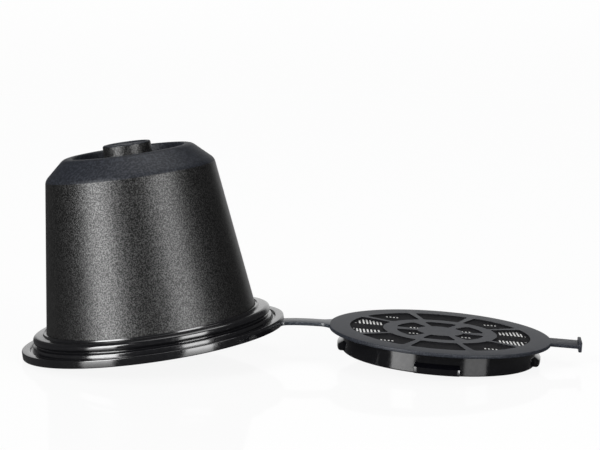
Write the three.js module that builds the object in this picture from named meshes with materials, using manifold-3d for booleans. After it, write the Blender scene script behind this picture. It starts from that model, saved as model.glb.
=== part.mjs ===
// Refillable espresso capsule, moulded in black plastic with its lid on a strap.
// The cup stands on its mouth, leaning on the edge of its flange, and the lid lies open
// beside it on the edge of its skirt. Millimetres, +Z up, +X from the cup to the lid.
import * as THREE from 'three';
import { mergeVertices } from 'three/addons/utils/BufferGeometryUtils.js';
import Module from 'manifold-3d';

const wasm = await Module();
wasm.setup();

// Driving dimensions: the cup, measured up from the underside of its flange
const FLANGE_RADIUS = 18.5;
const FLANGE_THICKNESS = 1.1;
const FLANGE_EDGE_BREAK = 0.2;
const LIP_WIDTH = 1.1;
const GROOVE_FLOOR = 0.75;
const STEP_RADIUS = 16.7;
const STEP_WALL_TOP = 1.4;
const STEP_TOP = 2.6;
const SHOULDER_INNER_RADIUS = 15.4;
const COLLAR_RADIUS = 15.2;
const COLLAR_TOP = 2.95;
const COLLAR_EDGE_BREAK = 0.12;
const BODY_FOOT_RADIUS = 14.75;
const BODY_TOP_RADIUS = 11.85;
const BODY_TOP = 24.1;
const BODY_EDGE_ROUND = 0.5;
const WALL = 1.0;

// The small end: a chamfer up to a round rim, a recess inside it and a boss in the middle
const RIM_OUTER_RADIUS = 8.7;
const RIM_INNER_RADIUS = 7.8;
const RIM_TOP = 26.7;
const RECESS_DEPTH = 3.3;
const RECESS_FLOOR_RADIUS = 7.55;
const BOSS_RADIUS = 3.35;
const BOSS_PROUD = 1.1;
const BOSS_EDGE_BREAK = 0.3;
const WATER_HOLE_COUNT = 8;
const WATER_HOLE_DIAMETER = 0.9;
const WATER_HOLE_CIRCLE_RADIUS = 5.5;

// The mouth: a lead-in, a neck, and the groove that the lid's lugs sit in
const LUG_CLEARANCE = 0.25;
const MOUTH_LEAD_IN = 0.35;
const SNAP_GROOVE_DEPTH = 0.15;
const SNAP_GROOVE_MARGIN = 0.25;

// The lid, measured down from its outer face
const PLATE_RADIUS = 15.4;
const PLATE_THICKNESS = 0.5;
const SKIRT_RADIUS = 13.4;
const SKIRT_WALL = 0.9;
const SKIRT_DEPTH = 3.38;
const SKIRT_EDGE_BREAK = 0.2;
const LUG_COUNT = 4;
const LUG_PROUD = 0.7;
const LUG_TOP_DEPTH = 1.8;
const LUG_RAMP = 0.6;
const LUG_FLAT = 0.55;
const LUG_LEAD_IN = 0.35;
const LUG_HALF_ANGLE = THREE.MathUtils.degToRad(12.7);

// The lid's grille: six outer and six inner windows sunk in the plate, with fine slots
const WINDOW_COUNT = 6;
const WINDOW_SINK = 0.2;
const OUTER_WINDOW_INNER_RADIUS = 7.9;
const OUTER_WINDOW_OUTER_RADIUS = 12.5;
const OUTER_WINDOW_HALF_ANGLE = THREE.MathUtils.degToRad(28);
const INNER_WINDOW_INNER_RADIUS = 3.2;
const INNER_WINDOW_OUTER_RADIUS = 6.1;
const INNER_WINDOW_HALF_ANGLE = THREE.MathUtils.degToRad(22);
const SLOT_PITCH = 0.5;
const SLOT_WIDTH = 0.28;
const SLOT_EDGE = 0.3;
const CENTRE_BAR_WIDTH = 3.5;
const SIDE_SLOT_LENGTH = 0.9;
const SIDE_SLOT_ROW = 8.0;
const SIDE_SLOT_START = 6.25;
const SIDE_SLOT_COUNT = 4;
const INNER_SLOT_ROW = 2.45;
const INNER_SLOT_START = 3.1;
const INNER_SLOT_COUNT = 3;

// The fine steel screen under the grille, and the bead that holds it
const SCREEN_THICKNESS = 0.2;
const SCREEN_GAP = 0.15;
const SCREEN_EDGE_GAP = 0.3;
const BEAD_PROUD = 0.55;
const BEAD_HEIGHT = 0.5;

// The pull tab
const TAB_LENGTH = 3.9;
const TAB_WIDTH = 4.2;
const TAB_LIP_THICKNESS = 0.45;
const TAB_LIP_ABOVE = 0.45;
const TAB_LIP_BELOW = 0.45;

// The strap between cup and lid, and how far it is folded as the capsule lies open
const STRAP_WIDTH = 3.0;
const STRAP_THICKNESS = 0.5;
const STRAP_FREE_LENGTH = 6.4;
const OPEN_FOLD = THREE.MathUtils.degToRad(11.4);
const CLOSED_GAP = 0.25;
const PART_GAP = 0.3;

// Facets round a full circle
const SEGMENTS = 72;
const APOTHEM = Math.cos(Math.PI / SEGMENTS);

// Places worked out from the driving dimensions
const neckRadius = SKIRT_RADIUS + LUG_PROUD + LUG_CLEARANCE;
const grooveRadius = neckRadius + SNAP_GROOVE_DEPTH;
const hingeHeight = (STRAP_THICKNESS - PLATE_THICKNESS - CLOSED_GAP) / 2;
const hingeReach = (FLANGE_RADIUS + STRAP_FREE_LENGTH + PLATE_RADIUS) / 2;
const closedLidFace = -CLOSED_GAP - PLATE_THICKNESS;
const lugSeatLow = closedLidFace + LUG_TOP_DEPTH + LUG_RAMP;
const lugSeatHigh = lugSeatLow + LUG_FLAT;
const recessFloor = RIM_TOP - RECESS_DEPTH;
const bossTop = RIM_TOP + BOSS_PROUD;

// Closed surfaces and solids

function closedSurface(geometry) {
  const bare = geometry.clone();
  bare.deleteAttribute('normal');
  bare.deleteAttribute('uv');
  const merged = mergeVertices(bare, 1e-4);
  const index = merged.getIndex().array;
  const position = merged.getAttribute('position').array;
  const corner = (i) => new THREE.Vector3().fromArray(position, 3 * i);
  const triangles = [];
  let volume = 0;
  for (let i = 0; i < index.length; i += 3) {
    const [a, b, c] = [index[i], index[i + 1], index[i + 2]];
    if (a === b || b === c || c === a) continue;
    triangles.push(a, b, c);
    volume += corner(a).dot(corner(b).cross(corner(c)));
  }
  if (volume < 0) triangles.reverse();
  return { position, triangles };
}

function solid(geometry) {
  const { position, triangles } = closedSurface(geometry);
  return new wasm.Manifold(new wasm.Mesh({
    numProp: 3,
    vertProperties: new Float32Array(position),
    triVerts: new Uint32Array(triangles),
  }));
}

function geometryOf(manifold) {
  const mesh = manifold.getMesh();
  const geometry = new THREE.BufferGeometry();
  geometry.setAttribute('position', new THREE.BufferAttribute(mesh.vertProperties, 3));
  geometry.setIndex(new THREE.BufferAttribute(mesh.triVerts, 1));
  geometry.computeVertexNormals();
  return geometry;
}

// A ring or cup turned about Z from a profile of [radius, height] corners that closes on
// itself or on the axis. A flat of the polygon, not a corner, faces each of the four sides.
function turned(profile) {
  const closed = [...profile, profile[0]].map(([r, z]) => new THREE.Vector2(r, z));
  const lathe = new THREE.LatheGeometry(closed, SEGMENTS);
  lathe.rotateX(Math.PI / 2);
  lathe.rotateZ(Math.PI / SEGMENTS);
  return solid(lathe);
}

// A flat outline in X and Y, raised from one height to another
function raised(shape, low, high, curveSegments = 12) {
  const geometry = new THREE.ExtrudeGeometry(shape, {
    depth: high - low, bevelEnabled: false, curveSegments,
  });
  geometry.translate(0, 0, low);
  return solid(geometry);
}

function rectangle(x0, y0, x1, y1) {
  return new THREE.Shape([
    new THREE.Vector2(x0, y0), new THREE.Vector2(x1, y0),
    new THREE.Vector2(x1, y1), new THREE.Vector2(x0, y1),
  ]);
}

function sector(innerRadius, outerRadius, middle, halfAngle) {
  const shape = new THREE.Shape();
  shape.absarc(0, 0, outerRadius, middle - halfAngle, middle + halfAngle, false);
  shape.absarc(0, 0, innerRadius, middle + halfAngle, middle - halfAngle, true);
  shape.closePath();
  return shape;
}

function arc(r, z, radiusR, radiusZ, from, to, steps) {
  return Array.from({ length: steps + 1 }, (_, i) => {
    const angle = THREE.MathUtils.degToRad(from + (to - from) * i / steps);
    return [r + radiusR * Math.cos(angle), z + radiusZ * Math.sin(angle)];
  });
}

const union = (parts) => parts.reduce((whole, part) => whole.add(part));

// Cup: one turned profile, from the boss out over the rim, down the body, round the
// flange, in through the mouth and back up the inside
function cupProfile() {
  const rimRadius = (RIM_OUTER_RADIUS - RIM_INNER_RADIUS) / 2;
  const rimMiddle = (RIM_OUTER_RADIUS + RIM_INNER_RADIUS) / 2;
  const floorUnderside = recessFloor - WALL;
  const innerShoulder = BODY_TOP - BODY_EDGE_ROUND;
  const taper = (BODY_FOOT_RADIUS - BODY_TOP_RADIUS) / (BODY_TOP - COLLAR_TOP);
  const bodyRadius = (z) => BODY_FOOT_RADIUS - taper * (z - COLLAR_TOP);
  const chamferSlope = (RIM_TOP - rimRadius - BODY_TOP) / (BODY_TOP_RADIUS - RIM_OUTER_RADIUS);
  const recessWallOutside = RECESS_FLOOR_RADIUS + WALL;
  const innerChamferTop = innerShoulder + chamferSlope * (bodyRadius(innerShoulder) - WALL - recessWallOutside);
  const grooveLow = lugSeatLow - SNAP_GROOVE_MARGIN;
  const grooveHigh = lugSeatHigh + SNAP_GROOVE_MARGIN;
  const innerFoot = grooveHigh + (grooveRadius - bodyRadius(grooveHigh + WALL) + WALL);
  return [
    [0, bossTop],
    [BOSS_RADIUS - BOSS_EDGE_BREAK, bossTop],
    [BOSS_RADIUS, bossTop - BOSS_EDGE_BREAK],
    [BOSS_RADIUS, recessFloor],
    [RECESS_FLOOR_RADIUS, recessFloor],
    ...arc(rimMiddle, RIM_TOP - rimRadius, rimRadius, rimRadius, 180, 0, 6),
    [BODY_TOP_RADIUS - BODY_EDGE_ROUND, BODY_TOP + chamferSlope * BODY_EDGE_ROUND],
    [BODY_TOP_RADIUS - BODY_EDGE_ROUND / 5, BODY_TOP],
    [bodyRadius(BODY_TOP - BODY_EDGE_ROUND), BODY_TOP - BODY_EDGE_ROUND],
    [BODY_FOOT_RADIUS, COLLAR_TOP],
    [COLLAR_RADIUS - COLLAR_EDGE_BREAK, COLLAR_TOP],
    [COLLAR_RADIUS, COLLAR_TOP - COLLAR_EDGE_BREAK],
    [COLLAR_RADIUS, STEP_TOP],
    ...arc(SHOULDER_INNER_RADIUS, STEP_WALL_TOP, STEP_RADIUS - SHOULDER_INNER_RADIUS,
      STEP_TOP - STEP_WALL_TOP, 90, 0, 6),
    [STEP_RADIUS, GROOVE_FLOOR],
    [FLANGE_RADIUS - LIP_WIDTH - FLANGE_EDGE_BREAK, GROOVE_FLOOR],
    [FLANGE_RADIUS - LIP_WIDTH, FLANGE_THICKNESS],
    [FLANGE_RADIUS - FLANGE_EDGE_BREAK, FLANGE_THICKNESS],
    [FLANGE_RADIUS, FLANGE_THICKNESS - FLANGE_EDGE_BREAK],
    [FLANGE_RADIUS, FLANGE_EDGE_BREAK / 2],
    [FLANGE_RADIUS - FLANGE_EDGE_BREAK / 2, 0],
    [neckRadius + MOUTH_LEAD_IN, 0],
    [neckRadius, MOUTH_LEAD_IN],
    [neckRadius, grooveLow - SNAP_GROOVE_DEPTH],
    [grooveRadius, grooveLow],
    [grooveRadius, grooveHigh],
    [bodyRadius(innerFoot) - WALL, innerFoot],
    [bodyRadius(innerShoulder) - WALL, innerShoulder],
    [recessWallOutside, innerChamferTop],
    [recessWallOutside, floorUnderside],
    [BOSS_RADIUS - WALL, floorUnderside],
    [BOSS_RADIUS - WALL, bossTop - WALL],
    [0, bossTop - WALL],
  ];
}

function waterHoles() {
  return Array.from({ length: WATER_HOLE_COUNT }, (_, i) => {
    const angle = 2 * Math.PI * i / WATER_HOLE_COUNT;
    const hole = new THREE.CylinderGeometry(WATER_HOLE_DIAMETER / 2, WATER_HOLE_DIAMETER / 2, 3 * WALL, 12);
    hole.rotateX(Math.PI / 2);
    hole.translate(
      WATER_HOLE_CIRCLE_RADIUS * Math.cos(angle),
      WATER_HOLE_CIRCLE_RADIUS * Math.sin(angle),
      recessFloor - WALL / 2,
    );
    return solid(hole);
  });
}

function cupGeometry() {
  return geometryOf(turned(cupProfile()).subtract(union(waterHoles())));
}

// Lid: plate, skirt, lugs, screen bead and tab, all one moulding. Its origin is the middle
// of the outer face, the grille looks up, and the tab points along +X.
function skirtRing() {
  const innerRadius = SKIRT_RADIUS - SKIRT_WALL;
  const root = -PLATE_THICKNESS / 2;
  return turned([
    [SKIRT_RADIUS, root],
    [SKIRT_RADIUS, -SKIRT_DEPTH + SKIRT_EDGE_BREAK],
    [SKIRT_RADIUS - SKIRT_EDGE_BREAK, -SKIRT_DEPTH],
    [innerRadius + SKIRT_EDGE_BREAK, -SKIRT_DEPTH],
    [innerRadius, -SKIRT_DEPTH + SKIRT_EDGE_BREAK],
    [innerRadius, root],
  ]);
}

// The bead stands on the skirt's inner wall, right under the edge of the screen
function screenBead() {
  const wall = SKIRT_RADIUS - SKIRT_WALL;
  const inWall = wall + SKIRT_WALL / 2;
  const top = -PLATE_THICKNESS - 2 * SCREEN_GAP - SCREEN_THICKNESS;
  return turned([
    [inWall, top],
    [wall - BEAD_PROUD, top],
    [wall - BEAD_PROUD, top - BEAD_HEIGHT / 3],
    [wall, top - BEAD_HEIGHT],
    [inWall, top - BEAD_HEIGHT],
  ]);
}

// Each lug ramps out below the plate, so that it pulls free, and has a lead-in at its foot
function lugs() {
  const inWall = SKIRT_RADIUS - SKIRT_WALL / 2;
  const top = -LUG_TOP_DEPTH;
  const foot = top - LUG_RAMP - LUG_FLAT - LUG_LEAD_IN;
  const ring = turned([
    [inWall, top],
    [SKIRT_RADIUS, top],
    [SKIRT_RADIUS + LUG_PROUD, top - LUG_RAMP],
    [SKIRT_RADIUS + LUG_PROUD, top - LUG_RAMP - LUG_FLAT],
    [SKIRT_RADIUS + LUG_LEAD_IN, foot],
    [inWall, foot],
  ]);
  const wedges = Array.from({ length: LUG_COUNT }, (_, i) => raised(
    sector(SKIRT_WALL, 2 * PLATE_RADIUS, 2 * Math.PI * i / LUG_COUNT, LUG_HALF_ANGLE),
    2 * foot, 0,
  ));
  return ring.intersect(union(wedges));
}

function tab() {
  const root = PLATE_RADIUS - TAB_WIDTH / 4;
  const end = PLATE_RADIUS + TAB_LENGTH;
  const blade = raised(rectangle(root, -TAB_WIDTH / 2, end, TAB_WIDTH / 2), -PLATE_THICKNESS, 0);
  const lip = raised(
    rectangle(end - TAB_LIP_THICKNESS / 2, -TAB_WIDTH / 2, end + TAB_LIP_THICKNESS / 2, TAB_WIDTH / 2),
    -PLATE_THICKNESS - TAB_LIP_BELOW, TAB_LIP_ABOVE,
  );
  return blade.add(lip);
}

function windowShapes() {
  return Array.from({ length: WINDOW_COUNT }, (_, i) => {
    const middle = 2 * Math.PI * i / WINDOW_COUNT;
    const between = middle + Math.PI / WINDOW_COUNT;
    return [
      sector(OUTER_WINDOW_INNER_RADIUS, OUTER_WINDOW_OUTER_RADIUS, middle, OUTER_WINDOW_HALF_ANGLE),
      sector(INNER_WINDOW_INNER_RADIUS, INNER_WINDOW_OUTER_RADIUS, between, INNER_WINDOW_HALF_ANGLE),
    ];
  }).flat();
}

// Rows of slots, all along Y, in one quarter of the lid: [x, lowY, highY]. In the window on
// the X axis each slot runs from the centre bar to just inside the window's edge.
function quarterSlots() {
  const slots = [];
  const nearest = OUTER_WINDOW_INNER_RADIUS + SLOT_EDGE + SLOT_WIDTH / 2;
  const farthest = OUTER_WINDOW_OUTER_RADIUS - SLOT_EDGE - SLOT_WIDTH / 2;
  for (let x = nearest; x <= farthest; x += SLOT_PITCH) {
    const spokeEdge = x * Math.tan(OUTER_WINDOW_HALF_ANGLE) - SLOT_EDGE;
    const roundEdge = Math.sqrt(farthest ** 2 - x ** 2);
    const high = Math.min(spokeEdge, roundEdge);
    if (high > CENTRE_BAR_WIDTH / 2 + SLOT_WIDTH) slots.push([x, CENTRE_BAR_WIDTH / 2, high]);
  }
  for (let i = 0; i < SIDE_SLOT_COUNT; i += 1) {
    slots.push([SIDE_SLOT_START + i * SLOT_PITCH, SIDE_SLOT_ROW, SIDE_SLOT_ROW + SIDE_SLOT_LENGTH]);
  }
  for (let i = 0; i < INNER_SLOT_COUNT; i += 1) {
    slots.push([INNER_SLOT_START + i * SLOT_PITCH, INNER_SLOT_ROW - SIDE_SLOT_LENGTH, INNER_SLOT_ROW]);
  }
  return slots;
}

function slotCutters() {
  const quarters = [[1, 1], [1, -1], [-1, 1], [-1, -1]];
  return quarterSlots().flatMap(([x, low, high]) => quarters.map(([sideX, sideY]) => {
    const [y0, y1] = [sideY * low, sideY * high].sort((a, b) => a - b);
    const middle = sideX * x;
    const shape = rectangle(middle - SLOT_WIDTH / 2, y0, middle + SLOT_WIDTH / 2, y1);
    return raised(shape, -2 * PLATE_THICKNESS, PLATE_THICKNESS);
  }));
}

function lidGeometry() {
  const plate = turned([[0, 0], [PLATE_RADIUS, 0], [PLATE_RADIUS, -PLATE_THICKNESS], [0, -PLATE_THICKNESS]]);
  const windows = windowShapes().map((shape) => raised(shape, -WINDOW_SINK, PLATE_THICKNESS));
  const grille = plate.subtract(union(windows)).subtract(union(slotCutters()));
  return geometryOf(union([grille, skirtRing(), screenBead(), lugs(), tab()]));
}

// Screen: a flat steel disc between the plate and the bead
function screenGeometry() {
  const radius = SKIRT_RADIUS - SKIRT_WALL - SCREEN_EDGE_GAP;
  const top = -PLATE_THICKNESS - SCREEN_GAP;
  return geometryOf(turned([[0, top], [radius, top], [radius, top - SCREEN_THICKNESS], [0, top - SCREEN_THICKNESS]]));
}

// Strap: flush with the flange's underside at one end and with the lid's outer face at the
// other, and bent between them by the open fold. Heights are measured from the fold's axis.
function strapGeometry() {
  const start = FLANGE_RADIUS + PART_GAP;
  const reachToLid = hingeReach - PLATE_RADIUS - PART_GAP;
  const lidSide = (height) => new THREE.Vector2(
    hingeReach + reachToLid * Math.cos(OPEN_FOLD) + height * Math.sin(OPEN_FOLD),
    hingeHeight - reachToLid * Math.sin(OPEN_FOLD) + height * Math.cos(OPEN_FOLD),
  );
  const bend = (height) => new THREE.Vector2(
    hingeReach + height * Math.tan(OPEN_FOLD / 2),
    hingeHeight + height,
  );
  const under = -hingeHeight;
  const over = STRAP_THICKNESS - hingeHeight;
  const side = new THREE.Shape();
  side.moveTo(start, 0);
  side.quadraticCurveTo(bend(under).x, bend(under).y, lidSide(under).x, lidSide(under).y);
  side.lineTo(lidSide(over).x, lidSide(over).y);
  side.quadraticCurveTo(bend(over).x, bend(over).y, start, STRAP_THICKNESS);
  side.closePath();
  const geometry = new THREE.ExtrudeGeometry(side, {
    depth: STRAP_WIDTH, bevelEnabled: false, curveSegments: 10,
  });
  geometry.rotateX(Math.PI / 2);
  geometry.translate(0, STRAP_WIDTH / 2, 0);
  return geometryOf(solid(geometry));
}

// Materials

const blackPlastic = new THREE.MeshStandardMaterial({ color: 0x1c1d20, roughness: 0.5, metalness: 0 });
const lidPlastic = new THREE.MeshStandardMaterial({ color: 0x212226, roughness: 0.4, metalness: 0 });
const strapPlastic = new THREE.MeshStandardMaterial({ color: 0x26272a, roughness: 0.45, metalness: 0 });
const steel = new THREE.MeshStandardMaterial({ color: 0xc9cac8, roughness: 0.35, metalness: 1 });

function named(name, geometry, material) {
  const mesh = new THREE.Mesh(geometry, material);
  mesh.name = name;
  return mesh;
}

// Assembly: the lid hangs on the fold's axis, and the whole leans so that the flange's far
// edge and the skirt's far edge both touch the ground

const lid = new THREE.Group();
lid.add(named('lid', lidGeometry(), lidPlastic));
lid.add(named('filter_screen', screenGeometry(), steel));
lid.position.set(hingeReach, 0, STRAP_THICKNESS - hingeHeight);

const folded = new THREE.Group();
folded.add(lid);
folded.position.set(hingeReach, 0, hingeHeight);
folded.rotation.y = OPEN_FOLD;

const skirtFoot = new THREE.Vector3(
  hingeReach + (SKIRT_RADIUS - SKIRT_EDGE_BREAK) * APOTHEM, 0, STRAP_THICKNESS - hingeHeight - SKIRT_DEPTH,
).applyAxisAngle(new THREE.Vector3(0, 1, 0), OPEN_FOLD).add(folded.position);
const flangeFoot = new THREE.Vector3(-(FLANGE_RADIUS - FLANGE_EDGE_BREAK / 2) * APOTHEM, 0, 0);
const lean = Math.atan2(flangeFoot.z - skirtFoot.z, skirtFoot.x - flangeFoot.x);

const capsule = new THREE.Group();
capsule.add(named('cup', cupGeometry(), blackPlastic));
capsule.add(named('strap', strapGeometry(), strapPlastic));
capsule.add(folded);
capsule.rotation.y = -lean;

// The origin is on the ground, under the middle of the whole
const part = new THREE.Group();
part.add(capsule);
part.updateMatrixWorld(true);
const extent = new THREE.Box3().setFromObject(part, true);
const middle = extent.getCenter(new THREE.Vector3());
capsule.position.set(-middle.x, -middle.y, -extent.min.z);
part.updateMatrixWorld(true);

export default part;
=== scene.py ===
# %% [markdown]
# Refillable coffee capsule, lying open
# The object is one small plastic moulding, a cup and a lid joined by a thin strap, with a steel
# screen under the lid's slots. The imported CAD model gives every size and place. This lesson
# models each piece again with smooth curves and soft edges, gives it a plastic or steel finish,
# and sets it on a white table under soft lamps.

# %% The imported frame
import math
import bpy
from mathutils import Matrix, Vector


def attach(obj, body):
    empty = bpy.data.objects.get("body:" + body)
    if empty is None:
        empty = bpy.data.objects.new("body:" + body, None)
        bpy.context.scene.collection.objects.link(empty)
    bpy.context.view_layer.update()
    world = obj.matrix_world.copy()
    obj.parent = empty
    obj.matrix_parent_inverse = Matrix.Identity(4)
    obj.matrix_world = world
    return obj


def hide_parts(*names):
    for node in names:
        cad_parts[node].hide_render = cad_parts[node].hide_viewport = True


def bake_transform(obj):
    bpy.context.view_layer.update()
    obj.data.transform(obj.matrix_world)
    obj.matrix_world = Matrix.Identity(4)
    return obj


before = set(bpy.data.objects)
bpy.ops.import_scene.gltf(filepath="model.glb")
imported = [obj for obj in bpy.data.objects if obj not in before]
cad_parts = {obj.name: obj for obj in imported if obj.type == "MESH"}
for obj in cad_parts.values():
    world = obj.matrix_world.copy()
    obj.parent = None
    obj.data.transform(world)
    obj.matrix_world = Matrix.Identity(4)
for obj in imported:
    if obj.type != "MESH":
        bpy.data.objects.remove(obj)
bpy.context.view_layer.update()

# %% [markdown]
# Camera
# A small object is photographed from some distance with a long lens, so that near and far
# edges keep almost the same size. The camera comes first, because every later step is judged
# through it. It looks slightly down, and its place was worked out from the object's outlines.

# %% Camera
MM = 0.001
CAMERA_PLACE = Vector((23.451, -260.025, 54.543)) * MM
CAMERA_PITCH = -0.136
CAMERA_TURN = 0.09
CAMERA_ROLL = 0.0024
PHOTO_WIDTH = 600
FOCAL_PIXELS = 1900
SENSOR = 36.0

bpy.ops.object.camera_add(location=CAMERA_PLACE)
camera = bpy.context.object
turn = Matrix.Rotation(CAMERA_TURN, 3, "Z")
tilt = Matrix.Rotation(math.pi / 2 + CAMERA_PITCH, 3, "X")
roll = Matrix.Rotation(CAMERA_ROLL, 3, "Z")
camera.rotation_euler = (turn @ tilt @ roll).to_euler()
camera.data.sensor_width = SENSOR
camera.data.lens = SENSOR * FOCAL_PIXELS / PHOTO_WIDTH
camera.data.clip_start = 0.01
bpy.context.scene.camera = camera
bpy.context.scene.view_settings.view_transform = "Standard"
print("lens", camera.data.lens)

# %% [markdown]
# The two places everything is built in
# The cup is upright in its own place, with the middle of its flange's underside at the
# origin, and so is the lid, with the middle of its outer face at the origin. Each piece is
# modelled there, where a turned shape is easy, and then leans over as the capsule lies.

# %% Places of the cup and of the lid
LEAN = math.radians(7.588813)
FOLD = math.radians(11.4)
CUP_FOOT = Vector((-20.605, 0, 2.428)) * MM
LID_FACE = Vector((19.532, 0, 4.249)) * MM
cup_place = Matrix.Translation(CUP_FOOT) @ Matrix.Rotation(-LEAN, 4, "Y")
lid_place = Matrix.Translation(LID_FACE) @ Matrix.Rotation(FOLD - LEAN, 4, "Y")


def settle(piece, place):
    """Leans a finished piece over to its place, and keeps that place in its mesh."""
    bpy.ops.object.mode_set(mode="OBJECT")
    bpy.ops.object.select_all(action="DESELECT")
    piece.select_set(True)
    bpy.context.view_layer.objects.active = piece
    piece.matrix_world = place @ piece.matrix_world
    bpy.ops.object.transform_apply(location=True, rotation=True, scale=True)
    print(piece.name, "has", len(piece.data.polygons), "faces")


# %% [markdown]
# Turned shapes
# Cup and lid are round, so each is drawn as half a section and carried round the axis. Here a
# circle of edges is extruded from one corner of the section to the next and scaled to its
# radius, the way a potter raises a wall. Moulded plastic has no sharp corner, so each corner
# of the section is first replaced by a short curve of its own radius. The circle is turned by
# half a step, because an edge that runs exactly through the middle of a hole or a window
# doesn't let it be cut cleanly.

# %% Helpers for turned shapes
ROUND_STEPS = 192
HALF_STEP = math.pi / ROUND_STEPS
CORNER_STEPS = 4


def softened(corners):
    """Corners as (radius, height, rounding), in mm; gives the points of the rounded section."""
    points = []
    for i, (r, z, rounding) in enumerate(corners):
        here = Vector((r, z))
        if rounding == 0 or i in (0, len(corners) - 1):
            points.append(here)
            continue
        before = Vector(corners[i - 1][:2]) - here
        after = Vector(corners[i + 1][:2]) - here
        reach = min(rounding, 0.48 * before.length, 0.48 * after.length)
        start = here + before.normalized() * reach
        end = here + after.normalized() * reach
        for step in range(CORNER_STEPS + 1):
            t = step / CORNER_STEPS
            points.append((1 - t) ** 2 * start + 2 * t * (1 - t) * here + t ** 2 * end)
    return points


def choose(piece, test, kind="VERT"):
    """Enters edit mode with only the vertices or edges chosen whose place passes the test."""
    bpy.ops.object.mode_set(mode="EDIT")
    bpy.ops.mesh.select_mode(type=kind)
    bpy.ops.mesh.select_all(action="DESELECT")
    bpy.ops.object.mode_set(mode="OBJECT")
    if kind == "VERT":
        for vertex in piece.data.vertices:
            vertex.select = test(piece.matrix_world @ vertex.co / MM)
    if kind == "EDGE":
        for edge in piece.data.edges:
            ends = [piece.matrix_world @ piece.data.vertices[v].co / MM for v in edge.vertices]
            edge.select = test(*ends)
    bpy.ops.object.mode_set(mode="EDIT")


def turned(name, corners):
    """A closed turned shape. The section starts and ends on a flat face round the axis."""
    points = softened(corners)
    bpy.ops.object.select_all(action="DESELECT")
    r, z = points[0]
    bpy.ops.mesh.primitive_circle_add(
        vertices=ROUND_STEPS, radius=r * MM, location=(0, 0, z * MM), rotation=(0, 0, HALF_STEP),
        fill_type="NGON")
    piece = bpy.context.object
    piece.name = name
    bpy.ops.object.transform_apply(location=True, rotation=True, scale=True)
    bpy.ops.object.mode_set(mode="EDIT")
    bpy.ops.mesh.select_mode(type="EDGE")
    bpy.ops.mesh.select_all(action="SELECT")
    for r_next, z_next in points[1:]:
        bpy.ops.mesh.extrude_edges_move(
            TRANSFORM_OT_translate={"value": (0, 0, (z_next - z) * MM)})
        grow = r_next / r
        bpy.ops.transform.resize(value=(grow, grow, 1), center_override=(0, 0, z_next * MM))
        r, z = r_next, z_next
    bpy.ops.mesh.edge_face_add()
    bpy.ops.mesh.select_all(action="SELECT")
    bpy.ops.mesh.remove_doubles(threshold=0.001 * MM)
    bpy.ops.mesh.normals_make_consistent(inside=False)
    bpy.ops.object.mode_set(mode="OBJECT")
    return piece


def combine(piece, tool, operation):
    """Cuts the tool out of the piece, or adds it, and removes the tool."""
    bpy.ops.object.mode_set(mode="OBJECT")
    bpy.ops.object.select_all(action="DESELECT")
    bpy.context.view_layer.objects.active = piece
    piece.select_set(True)
    work = piece.modifiers.new("work", "BOOLEAN")
    work.object = tool
    work.operation = operation
    work.solver = "EXACT"
    bpy.ops.object.modifier_apply(modifier="work")
    bpy.data.objects.remove(tool)
    print(piece.name, operation, len(piece.data.polygons))


def joined(pieces):
    """One object from several separate ones."""
    bpy.ops.object.select_all(action="DESELECT")
    for piece in pieces:
        piece.select_set(True)
    bpy.context.view_layer.objects.active = pieces[0]
    bpy.ops.object.join()
    return bpy.context.object


def smooth(piece, angle):
    """Shades curved faces smooth, and keeps edges sharper than the angle crisp."""
    bpy.ops.object.select_all(action="DESELECT")
    piece.select_set(True)
    bpy.context.view_layer.objects.active = piece
    bpy.ops.object.shade_smooth_by_angle(angle=math.radians(angle))


# %% [markdown]
# The cup
# One moulding about one millimetre thick. From the small end down: a boss in the middle of a
# round recess, a rounded rim, a slanted shoulder, the tapered side, a low collar, a rounded
# step with a groove below it, and the flange with its raised lip. Inside, the mouth has a neck
# and a shallow groove for the lid's lugs. A turned section gives all of it at once.

# %% The cup's section
FLANGE_RADIUS = 18.5
BODY_FOOT = (14.75, 2.95)
BODY_TOP = (11.85, 24.1)
RIM_TOP = 26.7
RECESS_FLOOR = 23.4
BOSS_TOP = 27.8
CUP_SECTION = [
    (2.3, 27.62, 0), (2.6, 27.62, 0.15), (2.75, BOSS_TOP, 0.1), (3.35, BOSS_TOP, 0.3),
    (3.38, RECESS_FLOOR, 0.2), (7.55, RECESS_FLOOR, 0.25), (7.82, RIM_TOP, 0.3),
    (9.0, RIM_TOP, 0.55), (*BODY_TOP, 0.5), (*BODY_FOOT, 0.06),
    (15.02, 2.93, 0.05), (15.06, 3.1, 0.05), (15.2, 3.1, 0.06), (15.26, 2.84, 0.06),
    (16.3, 2.82, 0.25), (16.7, 2.55, 0.3), (16.72, 1.95, 0.2), (16.35, 1.75, 0.1),
    (16.35, 1.6, 0.08), (16.85, 1.45, 0.12), (16.92, 0.72, 0.12), (17.25, 0.72, 0.1),
    (17.4, 1.1, 0.12), (FLANGE_RADIUS, 1.1, 0.16), (FLANGE_RADIUS, 0, 0.14),
    (14.7, 0, 0.1), (14.35, 0.4, 0.1), (14.35, 1.25, 0.1), (14.5, 1.4, 0.1),
    (14.5, 2.45, 0.1), (13.7, 3.3, 0.4), (10.9, 23.6, 0.4), (8.55, 25.2, 0.2),
    (8.55, 22.4, 0.1), (2.35, 22.4, 0.2), (2.35, 26.8, 0.2), (1.2, 26.8, 0),
]
cup = turned("cup_shell", CUP_SECTION)

# %% [markdown]
# Water holes
# Water enters through a ring of small round holes in the recess's floor. A hole is a plain
# cylinder taken away, so one is made, copied round the axis, and all are cut in one go.

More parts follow.
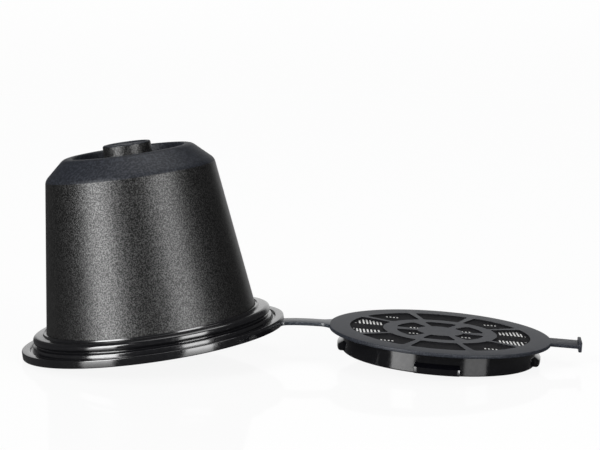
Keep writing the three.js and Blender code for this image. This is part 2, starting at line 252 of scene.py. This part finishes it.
# %% The ring of holes
HOLE_COUNT = 8
HOLE_RADIUS = 0.45
HOLE_CIRCLE = 5.5
HOLE_LEVEL = 22.9
HOLE_DEPTH = 3
holes = []
for i in range(HOLE_COUNT):
    angle = 2 * math.pi * i / HOLE_COUNT
    place = Vector((HOLE_CIRCLE * math.cos(angle), HOLE_CIRCLE * math.sin(angle), HOLE_LEVEL))
    bpy.ops.mesh.primitive_cylinder_add(
        vertices=24, radius=HOLE_RADIUS * MM, depth=HOLE_DEPTH * MM, location=place * MM)
    holes.append(bpy.context.object)
combine(cup, joined(holes), "DIFFERENCE")
smooth(cup, 35)
settle(cup, cup_place)

# %% [markdown]
# The lid's plate and skirt
# The lid is thin too: a flat plate, a skirt that fits the mouth, and inside the skirt a small
# bead that holds the screen. These are turned as one section. The plate's upper edge is
# rounded a little more than the rest, because fingers and light both meet it first.

# %% The lid's section
PLATE_RADIUS = 15.4
PLATE_THICKNESS = 0.5
SKIRT_RADIUS = 13.4
SKIRT_INSIDE = 12.5
SKIRT_FOOT = -3.38
LID_SECTION = [
    (1.0, 0, 0), (PLATE_RADIUS, 0, 0.16), (PLATE_RADIUS, -PLATE_THICKNESS, 0.12),
    (SKIRT_RADIUS, -PLATE_THICKNESS, 0.2), (SKIRT_RADIUS, SKIRT_FOOT, 0.18),
    (SKIRT_INSIDE, SKIRT_FOOT, 0.18), (SKIRT_INSIDE, -1.5, 0.1), (11.97, -1.2, 0.1),
    (11.97, -1.02, 0.05), (SKIRT_INSIDE, -1.0, 0.05),
    (SKIRT_INSIDE, -PLATE_THICKNESS, 0.1), (1.0, -PLATE_THICKNESS, 0),
]
lid = turned("lid_shell", LID_SECTION)

# %% [markdown]
# Blocks that are part of a ring
# Windows and lugs are both pieces of a ring. A small upright rectangle is spun through part
# of a turn, which gives a block with curved long sides. Spin can turn the shape inside out,
# so the faces are made to point outwards afterwards.

# %% Ring block helper
def ring_block(inner, outer, low, high, middle, half_angle, steps=12):
    """A block between two radii and two heights, centred on an angle, in mm and radians."""
    bpy.ops.object.select_all(action="DESELECT")
    centre = Vector(((inner + outer) / 2, 0, (low + high) / 2)) * MM
    bpy.ops.mesh.primitive_plane_add(size=1, location=centre, rotation=(math.pi / 2, 0, 0))
    block = bpy.context.object
    block.scale = ((outer - inner) * MM, (high - low) * MM, 1)
    bpy.ops.object.transform_apply(location=True, rotation=True, scale=True)
    block.rotation_euler = (0, 0, middle - half_angle)
    bpy.ops.object.transform_apply(location=False, rotation=True, scale=False)
    bpy.ops.object.mode_set(mode="EDIT")
    bpy.ops.mesh.select_all(action="SELECT")
    bpy.ops.mesh.spin(steps=steps, angle=2 * half_angle, center=(0, 0, 0), axis=(0, 0, 1))
    bpy.ops.mesh.select_all(action="SELECT")
    bpy.ops.mesh.remove_doubles(threshold=0.001 * MM)
    bpy.ops.mesh.normals_make_consistent(inside=False)
    bpy.ops.object.mode_set(mode="OBJECT")
    angles = [math.atan2(v.co.y, v.co.x) for v in block.data.vertices]
    turned_to = math.atan2(sum(map(math.sin, angles)), sum(map(math.cos, angles)))
    block.rotation_euler = (0, 0, middle - turned_to)
    bpy.ops.object.transform_apply(location=False, rotation=True, scale=False)
    return block


def upright_corner(a, b):
    """True for an edge that stands upright at a block's corner."""
    return abs(a.x - b.x) < 0.001 and abs(a.y - b.y) < 0.001


# %% [markdown]
# Windows
# The face has eight outer windows round the edge, two of them wider, and six inner ones between
# them and the hub. They are sunk a fifth of a millimetre, so that their rounded outlines catch
# a thin line of light, and the screen shows only in the slots on their floor.

# %% Outer and inner windows
WINDOW_SINK = 0.2
WINDOW_CORNER = 0.45
ABOVE_PLATE = 0.5
OUTER_WINDOW = (7.9, 12.5, math.radians(28))
NARROW_WINDOW = (7.9, 12.5, math.radians(17.6))
INNER_WINDOW = (3.2, 6.1, math.radians(22))
WINDOWS = [(OUTER_WINDOW, (0, 180)), (NARROW_WINDOW, (50, 90, 130, 230, 270, 310)),
           (INNER_WINDOW, (30, 90, 150, 210, 270, 330))]
windows = []


def add_window(inner, outer, half_angle, at):
    """One window's block, with its four upright corners rounded."""
    window = ring_block(inner, outer, -WINDOW_SINK, ABOVE_PLATE, at, half_angle)

    def corner(a, b):
        from_middle = abs(math.remainder(math.atan2(a.y, a.x) - at, 2 * math.pi))
        radius = math.hypot(a.x, a.y)
        at_side = min(abs(radius - inner), abs(radius - outer)) < 0.01
        return upright_corner(a, b) and at_side and abs(from_middle - half_angle) < 0.01

    choose(window, corner, "EDGE")
    bpy.ops.mesh.bevel(offset=WINDOW_CORNER * MM, segments=5)
    bpy.ops.object.mode_set(mode="OBJECT")
    windows.append(window)


for outline, places in WINDOWS:
    for degrees in places:
        add_window(*outline, math.radians(degrees))
combine(lid, joined(windows), "DIFFERENCE")

# %% [markdown]
# Slots
# Coffee leaves through rows of fine slots, all of them parallel. In the two windows on the
# strap's line each slot runs from a bar in the middle to just inside the window's outline. The
# other windows have a few short slots. Each is a plain long box, cut through the plate and
# turned a few degrees, because the screen doesn't lie quite square to the strap.

# %% Where the slots are
SLOT_PITCH = 0.5
SLOT_WIDTH = 0.28
SLOT_EDGE = 0.3
CENTRE_BAR = 3.5
SHORT_SLOT = 0.9
CORNER_SLOTS = (6.25, 8.0, 4)
HUB_SLOTS = (3.1, 1.55, 3)
THROUGH_PLATE = (-1, 0.4)
SLOT_TURN = math.radians(6.2)


def slot_places():
    """(x, low y, high y) of each slot in one quarter of the lid, in mm."""
    inner, outer, half_angle = OUTER_WINDOW
    nearest = inner + SLOT_EDGE + SLOT_WIDTH / 2
    farthest = outer - SLOT_EDGE - SLOT_WIDTH / 2
    places = []
    for i in range(int((farthest - nearest) / SLOT_PITCH) + 1):
        x = nearest + i * SLOT_PITCH
        by_spoke = x * math.tan(half_angle) - SLOT_EDGE
        by_rim = math.sqrt(max(farthest ** 2 - x ** 2, 0))
        high = min(by_spoke, by_rim)
        if high > CENTRE_BAR / 2 + SLOT_WIDTH:
            places.append((x, CENTRE_BAR / 2, high))
    for x, y, count in (CORNER_SLOTS, HUB_SLOTS):
        places += [(x + i * SLOT_PITCH, y, y + SHORT_SLOT) for i in range(count)]
    return places


def slot_boxes(width, shorten, low, high):
    """A box for each slot in all four quarters, joined into one object."""
    boxes = []
    for x, y0, y1 in slot_places():
        for side_x in (-1, 1):
            for side_y in (-1, 1):
                middle = Vector((side_x * x, side_y * (y0 + y1) / 2, (low + high) / 2))
                bpy.ops.mesh.primitive_cube_add(
                    size=1, location=middle * MM, rotation=(0, 0, SLOT_TURN))
                box = bpy.context.object
                box.scale = (width * MM, (y1 - y0 - shorten) * MM, (high - low) * MM)
                boxes.append(box)
    whole = joined(boxes)
    bpy.ops.object.transform_apply(location=True, rotation=True, scale=True)
    return whole


# %% Cutting the slots
combine(lid, slot_boxes(SLOT_WIDTH, 0, *THROUGH_PLATE), "DIFFERENCE")

# %% [markdown]
# Lugs
# Four lugs stand out of the skirt and snap behind the neck of the mouth. Each ramps out below
# the plate, so that it can be pulled free, and has a short lead-in at its foot. A ring block
# gives the form: its upper outer edge is scaled in, just inside the skirt's surface, and its
# lower one is bevelled. The ends are left almost sharp.

# %% Four lugs
LUG_COUNT = 4
LUG_HALF_ANGLE = math.radians(12.7)
LUG_TOP = -1.8
LUG_RIDGE = -2.4
LUG_FOOT = -3.3
LUG_ROOT = 13.0
LUG_TOP_RADIUS = 13.3
LUG_RADIUS = 14.1
LUG_LEAD_IN = 0.3
LUG_EDGE = 0.08
lugs = []


def stands_out(radius, *points):
    """True when each point lies farther from the axis than the radius."""
    return min(math.hypot(p.x, p.y) for p in points) > radius


def at_lug_end(a, b, middle):
    """True for an edge that lies in one of the lug's two end faces."""
    turns = [abs(math.remainder(math.atan2(p.y, p.x) - middle, 2 * math.pi)) for p in (a, b)]
    return min(turns) > LUG_HALF_ANGLE - 0.002


for i in range(LUG_COUNT):
    middle = 2 * math.pi * i / LUG_COUNT
    lug = ring_block(LUG_ROOT, LUG_RADIUS, LUG_FOOT, LUG_TOP, middle, LUG_HALF_ANGLE)
    bpy.ops.object.mode_set(mode="EDIT")
    bpy.ops.mesh.select_all(action="SELECT")
    bpy.ops.mesh.bisect(plane_co=(0, 0, LUG_RIDGE * MM), plane_no=(0, 0, 1))
    choose(lug, lambda p: stands_out(LUG_RADIUS - 0.1, p) and p.z > LUG_TOP - 0.01)
    bpy.ops.transform.resize(
        value=(LUG_TOP_RADIUS / LUG_RADIUS, LUG_TOP_RADIUS / LUG_RADIUS, 1),
        center_override=(0, 0, LUG_TOP * MM))
    choose(lug, lambda a, b: stands_out(LUG_RADIUS - 0.1, a, b)
           and max(a.z, b.z) < LUG_FOOT + 0.01, "EDGE")
    bpy.ops.mesh.bevel(offset=LUG_LEAD_IN * MM, segments=3)
    choose(lug, lambda a, b: stands_out(SKIRT_RADIUS - 0.1, a, b)
           and at_lug_end(a, b, middle), "EDGE")
    bpy.ops.mesh.bevel(offset=LUG_EDGE * MM, segments=2)
    bpy.ops.object.mode_set(mode="OBJECT")
    lugs.append(lug)
combine(lid, joined(lugs), "UNION")

# %% [markdown]
# Pull tab
# A short flat tab for a fingernail, with a lip across its end. Tab and lip are two blocks with
# rounded edges, and one is added to the other. The tab's root lies inside the plate. It is a
# fiftieth of a millimetre thinner on each side than the plate, and narrower than the lip,
# because faces that lie exactly in one plane don't join cleanly.

# %% Tab
TAB_LENGTH = 3.9
TAB_WIDTH = 4.2
LIP_LENGTH = 0.45
LIP_HEIGHT = 1.4
LIP_EDGE = 0.09
TAB_FLUSH = 0.02
ROOT_OVERLAP = 0.35


def soft_block(start, end, width, height):
    """A block along the strap's line, level with the plate, with rounded edges, in mm."""
    bpy.ops.object.select_all(action="DESELECT")
    middle = Vector(((start + end) / 2, 0, -PLATE_THICKNESS / 2))
    bpy.ops.mesh.primitive_cube_add(size=1, location=middle * MM)
    block = bpy.context.object
    block.scale = ((end - start) * MM, width * MM, height * MM)
    bpy.ops.object.transform_apply(location=True, rotation=True, scale=True)
    bpy.ops.object.mode_set(mode="EDIT")
    bpy.ops.mesh.select_all(action="SELECT")
    bpy.ops.mesh.bevel(offset=LIP_EDGE * MM, segments=3)
    bpy.ops.object.mode_set(mode="OBJECT")
    return block


lip_middle = PLATE_RADIUS + TAB_LENGTH
tab = soft_block(
    PLATE_RADIUS - ROOT_OVERLAP, lip_middle, TAB_WIDTH - 2 * TAB_FLUSH, PLATE_THICKNESS - 2 * TAB_FLUSH)
lip = soft_block(
    lip_middle - LIP_LENGTH / 2, lip_middle + LIP_LENGTH / 2, TAB_WIDTH, LIP_HEIGHT)
combine(tab, lip, "UNION")
combine(lid, tab, "UNION")
smooth(lid, 35)
settle(lid, lid_place)

# %% [markdown]
# Steel screen
# The screen is a disc of thin steel under the plate, pressed up into each slot, so that a
# bright strip shines almost level with the floor of every window. It is turned as a plain
# disc, and a narrow box is added for each strip.

# %% Screen
SCREEN_RADIUS = 12.2
SCREEN_TOP = -0.65
SCREEN_FOOT = -0.85
STRIP_FOOT = -0.75
STRIP_GAP = 0.04
screen = turned("steel_screen", [
    (1.0, SCREEN_TOP, 0), (SCREEN_RADIUS, SCREEN_TOP, 0.05), (SCREEN_RADIUS, SCREEN_FOOT, 0.05),
    (1.0, SCREEN_FOOT, 0)])
strips = slot_boxes(SLOT_WIDTH - STRIP_GAP, STRIP_GAP, STRIP_FOOT, -WINDOW_SINK - STRIP_GAP)
combine(screen, strips, "UNION")
smooth(screen, 35)
settle(screen, lid_place)

# %% [markdown]
# Strap
# A flat band joins the flange to the lid. It widens where it meets each of them, as a strap
# does that is moulded with its neighbours. Its end face is a small rectangle, which is
# extruded step by step along a bent line and resized to the strap's width at each step.

# %% Strap
STRAP_WIDTH = 3.0
STRAP_THICKNESS = 0.5
STRAP_STEPS = 36
STRAP_EDGE = 0.08
BEND_X = 20.15
FLANGE_FLARE = (1.3, 0.18)
LID_FLARE = (1.8, 0.16)
strap_start = Vector((FLANGE_RADIUS - ROOT_OVERLAP, 0, STRAP_THICKNESS / 2))
cup_inverse = cup_place.inverted()
lid_in_cup = cup_inverse @ lid_place
root_in_lid = Vector((-PLATE_RADIUS + ROOT_OVERLAP, 0, -PLATE_THICKNESS / 2))
strap_end = lid_in_cup @ (root_in_lid * MM) / MM
strap_bend = Vector((BEND_X, 0, STRAP_THICKNESS / 2))


def strap_point(t):
    """The middle of the strap at t, from 0 at the flange to 1 at the lid."""
    return (1 - t) ** 2 * strap_start + 2 * t * (1 - t) * strap_bend + t ** 2 * strap_end


def strap_width(t):
    """The strap's width at t. Each flare gives what an end adds, and over which share of t."""
    near_flange = max(0, 1 - t / FLANGE_FLARE[1]) ** 2
    near_lid = max(0, 1 - (1 - t) / LID_FLARE[1]) ** 2
    return STRAP_WIDTH + FLANGE_FLARE[0] * near_flange + LID_FLARE[0] * near_lid


def along_strap(a, b):
    """True for an edge that runs from one end of the strap towards the other."""
    return abs(a.x - b.x) > 0.01 and abs(a.y - b.y) < 0.6 and abs(a.z - b.z) < 0.2


bpy.ops.object.select_all(action="DESELECT")
bpy.ops.mesh.primitive_plane_add(size=1, location=strap_start * MM, rotation=(0, math.pi / 2, 0))
strap = bpy.context.object
strap.name = "strap_band"
strap.scale = (STRAP_THICKNESS * MM, strap_width(0) * MM, 1)
bpy.ops.object.transform_apply(location=True, rotation=True, scale=True)
bpy.ops.object.mode_set(mode="EDIT")
bpy.ops.mesh.select_mode(type="FACE")
bpy.ops.mesh.select_all(action="SELECT")
for step in range(STRAP_STEPS):
    here, there = strap_point(step / STRAP_STEPS), strap_point((step + 1) / STRAP_STEPS)
    bpy.ops.mesh.extrude_region_move(TRANSFORM_OT_translate={"value": (there - here) * MM})
    wider = strap_width((step + 1) / STRAP_STEPS) / strap_width(step / STRAP_STEPS)
    bpy.ops.transform.resize(value=(1, wider, 1), center_override=there * MM)
bpy.ops.mesh.select_all(action="SELECT")
bpy.ops.mesh.normals_make_consistent(inside=False)
choose(strap, along_strap, "EDGE")
bpy.ops.mesh.bevel(offset=STRAP_EDGE * MM, segments=3)
bpy.ops.object.mode_set(mode="OBJECT")
smooth(strap, 40)
settle(strap, cup_place)

# %% [markdown]
# Plastic
# All of the moulding is one black plastic, but the mould's surface differs: the side of the
# cup was made with a fine spark-eroded grain, the small end and the lid's face are satin, and
# the flange and skirt are polished. Each gets its own roughness and grain, and a black of its
# own: the small end, the lid's face and the strap get a lighter, bluer one, which is painted
# sheen of the light from above, and the windows' floors and the skirt get a darker one, which
# is painted shade. One noise, read in the object's own place so that it stays put, drives the
# roughness, the relief, and the flecks that sparkle where the grain stands up.

# %% Plastic helper
GRAIN_RANGE = (0.3, 0.7)
FLECK_RANGE = (0.4, 0.66)


def plastic(name, colour, roughness, spread, grain_size, grain_depth, gloss, fleck=0.25):
    """A black plastic: roughness and its spread, grain in mm, specular level and fleck.

    The fleck is the share by which colour and specular level rise and fall with the grain.
    """
    finish = bpy.data.materials.new(name)
    finish.use_nodes = True
    nodes, links = finish.node_tree.nodes, finish.node_tree.links
    shader = nodes["Principled BSDF"]
    place = nodes.new("ShaderNodeTexCoord")
    grain = nodes.new("ShaderNodeTexNoise")
    grain.inputs["Scale"].default_value = 1 / (grain_size * MM)
    grain.inputs["Detail"].default_value = 3
    shades = nodes.new("ShaderNodeMapRange")
    shades.inputs["From Min"].default_value = GRAIN_RANGE[0]
    shades.inputs["From Max"].default_value = GRAIN_RANGE[1]
    shades.inputs["To Min"].default_value = roughness - spread
    shades.inputs["To Max"].default_value = roughness + spread
    tint = nodes.new("ShaderNodeMix")
    tint.data_type = "RGBA"
    tint.inputs["A"].default_value = (*[c * (1 - fleck) for c in colour], 1)
    tint.inputs["B"].default_value = (*[c * (1 + 2 * fleck) for c in colour], 1)
    contrast = nodes.new("ShaderNodeMapRange")
    contrast.interpolation_type = "SMOOTHSTEP"
    contrast.inputs["From Min"].default_value = FLECK_RANGE[0]
    contrast.inputs["From Max"].default_value = FLECK_RANGE[1]
    sparkle = nodes.new("ShaderNodeMapRange")
    sparkle.inputs["To Min"].default_value = gloss * (1 - fleck)
    sparkle.inputs["To Max"].default_value = gloss * (1 + fleck)
    relief = nodes.new("ShaderNodeBump")
    relief.inputs["Strength"].default_value = 1.0
    relief.inputs["Distance"].default_value = grain_depth * MM
    links.new(place.outputs["Object"], grain.inputs["Vector"])
    links.new(grain.outputs["Fac"], shades.inputs["Value"])
    links.new(shades.outputs["Result"], shader.inputs["Roughness"])
    links.new(grain.outputs["Fac"], contrast.inputs["Value"])
    links.new(contrast.outputs["Result"], tint.inputs["Factor"])
    links.new(tint.outputs["Result"], shader.inputs["Base Color"])
    links.new(contrast.outputs["Result"], sparkle.inputs["Value"])
    links.new(sparkle.outputs["Result"], shader.inputs["Specular IOR Level"])
    links.new(grain.outputs["Fac"], relief.inputs["Height"])
    links.new(relief.outputs["Normal"], shader.inputs["Normal"])
    return finish


# %% The plastic finishes
SIDE_BLACK = (0.0035, 0.0035, 0.0035)
# Painted sheen: the small end's, the strap's and the lid face's blacks are lighter and bluer than the
# side's, and stand in for light from above on faces that look up.
SHOULDER_SHEEN_BLACK = (0.0105, 0.012, 0.016)
FLANGE_BLACK = (0.004, 0.004, 0.0048)
STRAP_SHEEN_BLACK = (0.021, 0.025, 0.032)
FACE_SHEEN_BLACK = (0.015, 0.017, 0.0222)
# Painted shade: the windows' floor black and the skirt black are darker than the rest of the lid, and
# stand in for shade in the sunk windows and on the skirt.
WINDOW_SHADE_BLACK = (0.006, 0.006, 0.007)
SKIRT_SHADE_BLACK = (0.0015, 0.0015, 0.0023)
grained = plastic("spark_grained_black", SIDE_BLACK, roughness=0.4, spread=0.08,
                  grain_size=0.17, grain_depth=0.02, gloss=0.56, fleck=0.55)
satin = plastic("small_end_satin_sheen_black", SHOULDER_SHEEN_BLACK, roughness=0.5, spread=0.05,
                grain_size=0.3, grain_depth=0.003, gloss=0.25)
strap_satin = plastic("strap_satin_sheen_black", STRAP_SHEEN_BLACK, roughness=0.34, spread=0.05,
                      grain_size=0.3, grain_depth=0.003, gloss=0.85)
polished = plastic("polished_black", FLANGE_BLACK, roughness=0.15, spread=0.03,
                   grain_size=0.5, grain_depth=0.0008, gloss=0.8, fleck=0.05)
face_satin = plastic("lid_face_sheen_black", FACE_SHEEN_BLACK, roughness=0.48, spread=0.05,
                     grain_size=0.2, grain_depth=0.006, gloss=0.29)
window_shade_black = plastic("window_floor_shade_black", WINDOW_SHADE_BLACK, roughness=0.75, spread=0.05,
                       grain_size=0.2, grain_depth=0.004, gloss=0.08)
skirt_shade_black = plastic("skirt_shade_black", SKIRT_SHADE_BLACK, roughness=0.12, spread=0.02,
                      grain_size=0.5, grain_depth=0.0006, gloss=0.85, fleck=0.05)

# %% [markdown]
# Steel
# Thin rolled steel is bright and slightly streaked. Its grain runs one way, so the noise is
# stretched along the slots.

# %% Steel finish
steel = bpy.data.materials.new("bright_steel")
steel.use_nodes = True
steel_nodes, steel_links = steel.node_tree.nodes, steel.node_tree.links
steel_shader = steel_nodes["Principled BSDF"]
steel_shader.inputs["Metallic"].default_value = 1.0
steel_place = steel_nodes.new("ShaderNodeTexCoord")
steel_stretch = steel_nodes.new("ShaderNodeMapping")
steel_stretch.inputs["Scale"].default_value = (6, 1, 1)
steel_streaks = steel_nodes.new("ShaderNodeTexNoise")
steel_streaks.inputs["Scale"].default_value = 1 / (0.8 * MM)
steel_streaks.inputs["Detail"].default_value = 5
steel_rough = steel_nodes.new("ShaderNodeMapRange")
steel_rough.inputs["To Min"].default_value = 0.22
steel_rough.inputs["To Max"].default_value = 0.42
steel_tone = steel_nodes.new("ShaderNodeMix")
steel_tone.data_type = "RGBA"
steel_tone.inputs["A"].default_value = (0.78, 0.78, 0.77, 1)
steel_tone.inputs["B"].default_value = (0.92, 0.92, 0.91, 1)
steel_links.new(steel_place.outputs["Object"], steel_stretch.inputs["Vector"])
steel_links.new(steel_stretch.outputs["Vector"], steel_streaks.inputs["Vector"])
steel_links.new(steel_streaks.outputs["Fac"], steel_rough.inputs["Value"])
steel_links.new(steel_rough.outputs["Result"], steel_shader.inputs["Roughness"])
steel_links.new(steel_streaks.outputs["Fac"], steel_tone.inputs["Factor"])
steel_links.new(steel_tone.outputs["Result"], steel_shader.inputs["Base Color"])

# %% [markdown]
# Which finish goes where
# A piece can carry several materials, and each face points to one of them. The faces are
# sorted by their place in the cup's or the lid's own upright space.

# %% Finishes on the faces
SQUARELY_OUT = 0.9
SIDE_INSIDE = 11
BOSS_OUTSIDE = 3.5
SIDE_FOOT = BODY_FOOT[1] + 0.2
SIDE_HEAD = BODY_TOP[1] - 0.15
FACE_SKIN = 0.03
HAIRLINE = 0.01


def finish_faces(piece, place, finishes, sort):
    """Gives the piece its finishes. sort says which one a face takes, by its radius, its
    height and how squarely it faces away from the axis.
    """
    piece.data.materials.clear()
    for finish in finishes:
        piece.data.materials.append(finish)
    back = place.inverted()
    turn_back = back.to_3x3()
    for face in piece.data.polygons:
        centre = back @ face.center / MM
        normal = turn_back @ face.normal
        radius = math.hypot(centre.x, centre.y)
        outward = (centre.x * normal.x + centre.y * normal.y) / max(radius, 0.001)
        face.material_index = sort(radius, centre.z, outward)


def cup_finish(radius, height, outward):
    """The side and the boss's side are grained, what lies below the side is polished, and the rest is
    satin with a lighter black that is painted sheen.
    """
    side = radius > SIDE_INSIDE and SIDE_FOOT < height < SIDE_HEAD
    boss_side = radius < BOSS_OUTSIDE and height > RECESS_FLOOR
    if outward > SQUARELY_OUT and (side or boss_side):
        return 0
    return 2 if height < SIDE_FOOT else 1


def lid_finish(radius, height, outward):
    """The skirt is polished, with a darker black that paints shade on it, and the windows' floors and
    walls are dull, with a darker black that paints shade in them.
    """
    if height < -PLATE_THICKNESS - HAIRLINE:
        return 1
    in_plate = -PLATE_THICKNESS + HAIRLINE < height < -FACE_SKIN
    return 2 if in_plate and radius < OUTER_WINDOW[1] + HAIRLINE else 0


finish_faces(cup, cup_place, [grained, satin, polished], cup_finish)
finish_faces(lid, lid_place, [face_satin, skirt_shade_black, window_shade_black], lid_finish)
strap.data.materials.append(strap_satin)
screen.data.materials.append(steel)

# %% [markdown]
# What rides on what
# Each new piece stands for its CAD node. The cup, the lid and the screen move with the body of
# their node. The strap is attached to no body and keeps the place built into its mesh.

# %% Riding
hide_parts("cup")
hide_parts("lid")
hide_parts("filter_screen")
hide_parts("strap")
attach(cup, "cup")
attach(lid, "lid")
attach(screen, "lid")
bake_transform(strap)

# %% [markdown]
# Table and background
# The ground is white and so is what lies behind it. The table keeps a faint shadow where the
# object stands, which ties it to the ground, and its smooth surface mirrors the lamps into the
# flange and the skirt. In such a reflection the table itself is nearly black, and so are the
# front and the sides of the studio, because the photograph's polished plastic is black too.

# %% Table
TABLE_GLOW_SHARE = 0.9
GLOW_IN_MIRRORS = 0.04
TABLE_IN_MIRRORS = (0.04, 0.04, 0.04, 1)
TABLE_WHITE = (0.7, 0.7, 0.7, 1)
bpy.ops.object.select_all(action="DESELECT")
bpy.ops.mesh.primitive_plane_add(size=8, location=(0, 0, 0))
table = bpy.context.object
table.name = "table"
white = bpy.data.materials.new("white_table")
white.use_nodes = True
white_nodes, white_links = white.node_tree.nodes, white.node_tree.links
white_nodes["Principled BSDF"].inputs["Roughness"].default_value = 0.05
white_nodes["Principled BSDF"].inputs["Specular IOR Level"].default_value = 0.5
glow = white_nodes.new("ShaderNodeEmission")
glow.inputs["Strength"].default_value = 1.0
rays = white_nodes.new("ShaderNodeLightPath")
table_tone = white_nodes.new("ShaderNodeMix")
table_tone.data_type = "RGBA"
table_tone.inputs["A"].default_value = TABLE_IN_MIRRORS
table_tone.inputs["B"].default_value = TABLE_WHITE
seen = white_nodes.new("ShaderNodeMath")
seen.operation = "MAXIMUM"
seen_through = white_nodes.new("ShaderNodeMath")
seen_through.operation = "MAXIMUM"
reflected = white_nodes.new("ShaderNodeMath")
reflected.operation = "MULTIPLY"
reflected.inputs[1].default_value = GLOW_IN_MIRRORS
share = white_nodes.new("ShaderNodeMath")
share.operation = "MULTIPLY"
share.inputs[1].default_value = TABLE_GLOW_SHARE
blend = white_nodes.new("ShaderNodeMixShader")
white_links.new(rays.outputs["Is Camera Ray"], table_tone.inputs["Factor"])
white_links.new(table_tone.outputs["Result"], white_nodes["Principled BSDF"].inputs["Base Color"])
white_links.new(rays.outputs["Is Camera Ray"], seen.inputs[0])
white_links.new(rays.outputs["Is Glossy Ray"], reflected.inputs[0])
white_links.new(reflected.outputs["Value"], seen.inputs[1])
white_links.new(seen.outputs["Value"], seen_through.inputs[0])
white_links.new(rays.outputs["Is Transmission Ray"], seen_through.inputs[1])
white_links.new(seen_through.outputs["Value"], share.inputs[0])
white_links.new(share.outputs["Value"], blend.inputs["Fac"])
white_links.new(white_nodes["Principled BSDF"].outputs["BSDF"], blend.inputs[1])
white_links.new(glow.outputs["Emission"], blend.inputs[2])
white_links.new(blend.outputs["Shader"], white_nodes["Material Output"].inputs["Surface"])
table.data.materials.append(white)

# %% [markdown]
# What surrounds the table
# The camera sees white all round. In the plastic's reflections only a patch straight behind the
# object is white. With the lighter black painted on the lid's face as sheen, this makes the face
# grey, while the skirt, with its darker painted shade, stays black.

# %% Background
FILL_LIGHT = 0.07
WHITE_STARTS = 0.88
WHITE_FULL = 0.97
world = bpy.data.worlds.new("white_studio")
world.use_nodes = True
bpy.context.scene.world = world
world_nodes, world_links = world.node_tree.nodes, world.node_tree.links
soft_light = world_nodes["Background"]
soft_light.inputs["Color"].default_value = (1, 1, 1, 1)
soft_light.inputs["Strength"].default_value = FILL_LIGHT
backdrop = world_nodes.new("ShaderNodeBackground")
backdrop.inputs["Color"].default_value = (1, 1, 1, 1)
backdrop.inputs["Strength"].default_value = 1.0
world_rays = world_nodes.new("ShaderNodeLightPath")
world_seen = world_nodes.new("ShaderNodeMath")
world_seen.operation = "MAXIMUM"
world_through = world_nodes.new("ShaderNodeMath")
world_through.operation = "MAXIMUM"
world_mix = world_nodes.new("ShaderNodeMixShader")
direction = world_nodes.new("ShaderNodeTexCoord")
parts = world_nodes.new("ShaderNodeSeparateXYZ")
behind = world_nodes.new("ShaderNodeMapRange")
behind.interpolation_type = "SMOOTHSTEP"
behind.inputs["From Min"].default_value = WHITE_STARTS
behind.inputs["From Max"].default_value = WHITE_FULL
mirrored = world_nodes.new("ShaderNodeMath")
mirrored.operation = "MULTIPLY"
world_links.new(direction.outputs["Generated"], parts.inputs["Vector"])
world_links.new(parts.outputs["Y"], behind.inputs["Value"])
world_links.new(world_rays.outputs["Is Glossy Ray"], mirrored.inputs[0])
world_links.new(behind.outputs["Result"], mirrored.inputs[1])
world_links.new(world_rays.outputs["Is Camera Ray"], world_seen.inputs[0])
world_links.new(mirrored.outputs["Value"], world_seen.inputs[1])
world_links.new(world_seen.outputs["Value"], world_through.inputs[0])
world_links.new(world_rays.outputs["Is Transmission Ray"], world_through.inputs[1])
world_links.new(world_through.outputs["Value"], world_mix.inputs["Fac"])
world_links.new(soft_light.outputs["Background"], world_mix.inputs[1])
world_links.new(backdrop.outputs["Background"], world_mix.inputs[2])
world_links.new(world_mix.outputs["Shader"], world_nodes["World Output"].inputs["Surface"])

# %% [markdown]
# Lamps
# Two tall soft boxes in front, one to the left and one to the right, draw the two upright
# bands of light on the cup's side. A wide one above lights the shoulder and the lid's face.

# %% Soft boxes
def soft_box(name, place, target, width, height, watts):
    """A rectangular lamp that faces the target. All sizes in metres."""
    bpy.ops.object.light_add(type="AREA", location=place)
    lamp = bpy.context.object
    lamp.name = name
    lamp.data.shape = "RECTANGLE"
    lamp.data.size = width
    lamp.data.size_y = height
    lamp.data.energy = watts
    aim = Vector(target) - Vector(place)
    lamp.rotation_euler = aim.to_track_quat("-Z", "Y").to_euler()
    return lamp


CUP_MIDDLE = (-0.02, 0, 0.012)
soft_box("left_box", (-0.35, -0.4, 0.14), CUP_MIDDLE, width=0.27, height=0.5, watts=5.8)
soft_box("right_box", (0.38, -0.36, 0.14), CUP_MIDDLE, width=0.25, height=0.5, watts=3.6)
soft_box("top_box", (0.05, 0.1, 0.6), (0, 0, 0), width=0.5, height=0.4, watts=1.75)
